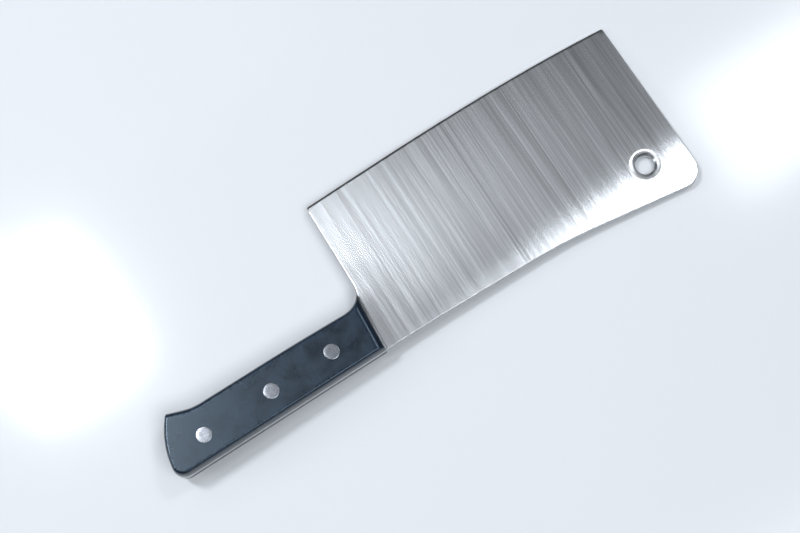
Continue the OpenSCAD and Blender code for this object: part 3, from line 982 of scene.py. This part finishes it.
def scale_ring(b, h, share):
    """Outline of a scale when its sides have moved in by a share of the easing."""
    front, belly = h.ease_front * share, h.ease_belly * share
    spine, butt = h.ease_spine * share, h.ease_butt * share
    rough_x = scale_front_x(h, h.height) - front
    horn_x = scale_front_x(h, scale_belly_y(b, h, rough_x, belly)) - front
    foot_x = scale_front_x(h, 0.0) - front
    side = inset(handle_lines(h)["spine"], spine)
    tail = butt_outline(h, belly, butt, spine)
    foot = (foot_x, y_on(side, foot_x))
    horn = (horn_x, scale_belly_y(b, h, horn_x, belly))
    out = between(tail[-1], foot, 60, first=1) + between(foot, horn, 16)
    xs = horn_x + (-b.choil_radius - horn_x) * np.linspace(0, 1, 17)
    out += [(x, scale_belly_y(b, h, x, belly)) for x in xs]
    return out + between(out[-1], tail[0], 10, first=1) + tail


def build_scale(context, name, node, outer_z, tang_z):
    b, h, r, shift, tubes = sizes_and_places(context)
    head_radius = r.head_diameter / 2 + r.head_play
    tube_radius = r.tube_diameter / 2 + r.tube_play
    thick = outer_z - tang_z
    power = h.ease_power
    steps = np.concatenate([[0.0, 0.008, 0.03], np.sin(np.linspace(0.1, math.pi / 2, 18))])
    rings = []
    for s in steps:
        joint = 0.012 * max(0.0, 1 - s / 0.03) ** 2
        rings.append(scale_ring(b, h, 1 - (1 - s**power) ** (1 / power) + joint))
    verts, faces, worn = [], [], []
    count = len(rings[0])
    for s, points in zip(steps, rings, strict=True):
        verts += [(x, y, s * thick) for x, y in points]
        # Worn values near the outer face's rim: rubbed corners that the finish also lightens as a painted
        # highlight.
        worn += [max(0.0, 1 - abs(s - 0.97) / 0.12)] * count
    for k in range(len(rings) - 1):
        for i in range(count):
            j = (i + 1) % count
            faces.append((k * count + i, k * count + j, (k + 1) * count + j, (k + 1) * count + i))

    def lid(outline, radius, z, loops=(), points=(), flip=False):
        plan, tris = fill_plan(outline, [ring(t, radius) for t in tubes] + list(loops), (), points,
                               [(t, radius) for t in tubes])
        base = len(verts)
        gap = gap_to(plan, outline)
        verts.extend((x, y, z) for x, y in plan)
        # The outer face's border gets worn values too, for the same painted highlight.
        worn.extend(np.clip(1 - gap / 0.0012, 0, 1) * (0 if flip else 0.8))
        faces.extend([tuple(base + i for i in (t[::-1] if flip else t)) for t in tris])

    top, bottom = rings[-1], rings[0]
    grid = np.array([(x, y) for x in np.arange(-0.122, 0.0, 0.003) for y in np.arange(-0.004, 0.03, 0.003)])
    keep = is_inside(grid, top) & (gap_to(grid, top) > 0.0016)
    keep &= far_from(grid, tubes, head_radius + CLEAR_OF_BORE)
    lid(top, head_radius, thick, [inset_ring(top, d) for d in (0.0003, 0.0008)], grid[keep])
    lid(bottom, tube_radius, 0.0, flip=True)
    pocket = thick - math.copysign(r.head_thickness, thick)
    for t in tubes:
        levels = [(head_radius, thick), (head_radius, pocket), (tube_radius, pocket), (tube_radius, 0.0)]
        for (ra, za), (rb, zb) in zip(levels, levels[1:]):
            base = len(verts)
            verts += [(x, y, za) for x, y in ring(t, ra)] + [(x, y, zb) for x, y in ring(t, rb)]
            worn += [0.0] * 2 * TUBE_FLATS
            for i in range(TUBE_FLATS):
                j = (i + 1) % TUBE_FLATS
                faces.append((base + i, base + j, base + TUBE_FLATS + j, base + TUBE_FLATS + i))
    place_in = [(x + shift[0], y + shift[1], tang_z + z) for x, y, z in verts]
    mesh = bpy.data.meshes.new(name)
    mesh.from_pydata(place_in, [], [[int(i) for i in f] for f in faces])
    point_values(mesh, "worn", worn)
    shade(mesh, 38.0, weld=2e-7)
    mesh.materials.append(finish_of(black_acetal, context.scene.cleaver_colours.acetal))
    settle(linked(context, name, mesh), node, slot="handle_acetal")


def build_rivets(context):
    r = context.scene.cleaver_rivets
    tree = turned_rivet_tree()
    tube_length = HANDLE_TOP - r.head_thickness - r.tube_short
    halves = {
        "pin": {
            "Shank": r.pin_diameter, "Shank Length": HANDLE_TOP - r.head_thickness - r.pin_short,
            "Bore": 0.0, "Bore Depth": 0.0, "Turn": (math.pi, 0.0, 0.0),
        },
        "sleeve": {
            "Shank": r.tube_diameter, "Shank Length": tube_length, "Bore": r.pin_diameter,
            "Bore Depth": tube_length - r.head_thickness, "Turn": (0.0, 0.0, 0.0),
        },
    }
    for way, (x, y) in rivet_places().items():
        for half, sizes in halves.items():
            node = f"rivet_{half}_{way}"
            name = f"{node}_turned"
            obj = linked(context, name, bpy.data.meshes.new(name))
            values = {
                "Head": r.head_diameter, "Head Thickness": r.head_thickness, "Rim Easing": r.rim_easing,
                "Segments": r.segments, "Place": (x, y, HANDLE_TOP if half == "pin" else 0.0),
                "Material": finish_of(ground_rivet, context.scene.cleaver_colours.rivet), **sizes,
            }
            grown(obj, tree, values, smooth=40)
            settle(obj, node, slot="rivet_metal")


# ---------------------------------------------------------------- the stage


def resting_plane():
    """The plane it lies on, the hull's facet under the centre of mass: (point, upward normal)."""
    mass, moment = 0.0, Vector()
    cloud = bmesh.new()
    for name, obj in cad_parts.items():
        density = DENSITIES[name.split("_")[0]]
        obj.data.calc_loop_triangles()
        for tri in obj.data.loop_triangles:
            a, b, c = (obj.data.vertices[i].co for i in tri.vertices)
            part = density * a.dot(b.cross(c)) / 6
            mass += part
            moment += part * (a + b + c) / 4
        for v in obj.data.vertices:
            cloud.verts.new(v.co)
    centre = moment / mass
    bmesh.ops.remove_doubles(cloud, verts=cloud.verts, dist=1e-6)
    bmesh.ops.convex_hull(cloud, input=cloud.verts)
    bmesh.ops.recalc_face_normals(cloud, faces=[f for f in cloud.faces])
    best = None
    for face in cloud.faces:
        n = face.normal
        if n.z > -0.5:
            continue
        depth = (face.verts[0].co - centre).dot(n)
        foot = centre + n * depth
        corners = [v.co for v in face.verts]
        turns = [
            (corners[(i + 1) % len(corners)] - c).cross(foot - c).dot(n) >= -1e-12
            for i, c in enumerate(corners)
        ]
        if all(turns) and (best is None or depth < best[0]):
            best = (depth, face.verts[0].co.copy(), -n)
    cloud.free()
    return best[1], best[2].normalized()


def build_stage(context):
    point, up = resting_plane()
    side = Vector((1, 0, 0))
    side = (side - up * side.dot(up)).normalized()
    ahead = up.cross(side)
    signs = ((-1, -1), (1, -1), (1, 1), (-1, 1))
    corners = [point + side * FLOOR_REACH * i + ahead * FLOOR_REACH * j for i, j in signs]
    mesh = bpy.data.meshes.new("floor")
    mesh.from_pydata(corners, [], [(0, 1, 2, 3)])
    shade(mesh, 30.0)
    floor = linked(context, "floor", mesh)
    if floor.data.polygons[0].normal.dot(up) < 0:
        floor.data.flip_normals()
    floor.data.materials.append(finish_of(pale_floor, context.scene.cleaver_colours.floor))

    for name, spot, size, power in LAMPS:
        data = bpy.data.lights.new(name, "AREA")
        data.shape = "RECTANGLE"
        data.size, data.size_y = size
        data.energy = power
        data.color = LAMP_COLOUR
        lamp = linked(context, name, data)
        away = Vector(spot).normalized()
        level = Vector((math.cos(BRUSH_LEAN), math.sin(BRUSH_LEAN), 0.0))
        level = (level - away * level.dot(away)).normalized()
        turn = Matrix((level, away.cross(level), away)).transposed().to_4x4()
        lamp.matrix_world = Matrix.Translation(spot) @ turn
    world = bpy.data.worlds.new("soft_room")
    context.scene.world = world
    world.use_nodes = True
    background = world.node_tree.nodes["Background"]
    feed(world.node_tree, background, {"Color": ROOM_COLOUR, "Strength": ROOM_STRENGTH})
    context.scene.view_settings.view_transform = "Standard"

    right0 = Vector((0, 1, 0)).cross(CAMERA_BACK).normalized()
    up0 = CAMERA_BACK.cross(right0)
    right = right0 * math.cos(CAMERA_ROLL) + up0 * math.sin(CAMERA_ROLL)
    view_up = up0 * math.cos(CAMERA_ROLL) - right0 * math.sin(CAMERA_ROLL)
    camera = linked(context, "camera", bpy.data.cameras.new("camera"))
    camera.data.sensor_width = SENSOR_WIDTH
    camera.data.lens = FOCAL_LENGTH
    camera.data.clip_start, camera.data.clip_end = 0.05, 20.0
    turn = Matrix((right, view_up, CAMERA_BACK)).transposed().to_4x4()
    camera.matrix_world = Matrix.Translation(CAMERA_TARGET + CAMERA_BACK * CAMERA_DISTANCE) @ turn
    context.scene.camera = camera


# ---------------------------------------------------------------- operators, panel and run


class CLEAVER_OT_blade(bpy.types.Operator):
    """Grinds the blade and its tang out of one plate."""

    bl_idname = "cleaver.blade"
    bl_label = "Build blade"

    def execute(self, context):
        build_blade(context)
        return {"FINISHED"}


class CLEAVER_OT_upper_scale(bpy.types.Operator):
    """Shapes the handle scale on top."""

    bl_idname = "cleaver.upper_scale"
    bl_label = "Build upper scale"

    def execute(self, context):
        build_scale(context, "scale_upper_acetal", "handle_scale_upper", HANDLE_TOP, TANG_HIGH)
        return {"FINISHED"}


class CLEAVER_OT_lower_scale(bpy.types.Operator):
    """Shapes the handle scale below."""

    bl_idname = "cleaver.lower_scale"
    bl_label = "Build lower scale"

    def execute(self, context):
        build_scale(context, "scale_lower_acetal", "handle_scale_lower", 0.0, TANG_LOW)
        return {"FINISHED"}


class CLEAVER_OT_rivets(bpy.types.Operator):
    """Turns the six rivet halves."""

    bl_idname = "cleaver.rivets"
    bl_label = "Build rivets"

    def execute(self, context):
        build_rivets(context)
        return {"FINISHED"}


class CLEAVER_OT_stage(bpy.types.Operator):
    """Lays the floor and sets the lights and the camera."""

    bl_idname = "cleaver.stage"
    bl_label = "Build stage"

    def execute(self, context):
        build_stage(context)
        return {"FINISHED"}


OPERATORS = [
    CLEAVER_OT_blade,
    CLEAVER_OT_upper_scale,
    CLEAVER_OT_lower_scale,
    CLEAVER_OT_rivets,
    CLEAVER_OT_stage,
]


class CLEAVER_PT_workshop(bpy.types.Panel):
    """Lists the steps that build the cleaver."""

    bl_label = "Meat cleaver"
    bl_space_type = "VIEW_3D"
    bl_region_type = "UI"
    bl_category = "Cleaver"

    def draw(self, context):
        for step in OPERATORS:
            self.layout.operator(step.bl_idname)


GROUPS = {
    "cleaver_blade": CleaverBladeSizes,
    "cleaver_handle": CleaverHandleSizes,
    "cleaver_rivets": CleaverRivetSizes,
    "cleaver_colours": CleaverColours,
}


def register():
    for cls in (*GROUPS.values(), *OPERATORS, CLEAVER_PT_workshop):
        bpy.utils.register_class(cls)
    for name, cls in GROUPS.items():
        setattr(bpy.types.Scene, name, PointerProperty(type=cls))


def unregister():
    for name in GROUPS:
        delattr(bpy.types.Scene, name)
    for cls in (CLEAVER_PT_workshop, *reversed(OPERATORS), *GROUPS.values()):
        bpy.utils.unregister_class(cls)


def main():
    register()
    bpy.ops.cleaver.blade()
    bpy.ops.cleaver.upper_scale()
    bpy.ops.cleaver.lower_scale()
    bpy.ops.cleaver.rivets()
    bpy.ops.cleaver.stage()


if __name__ == "__main__":
    main()
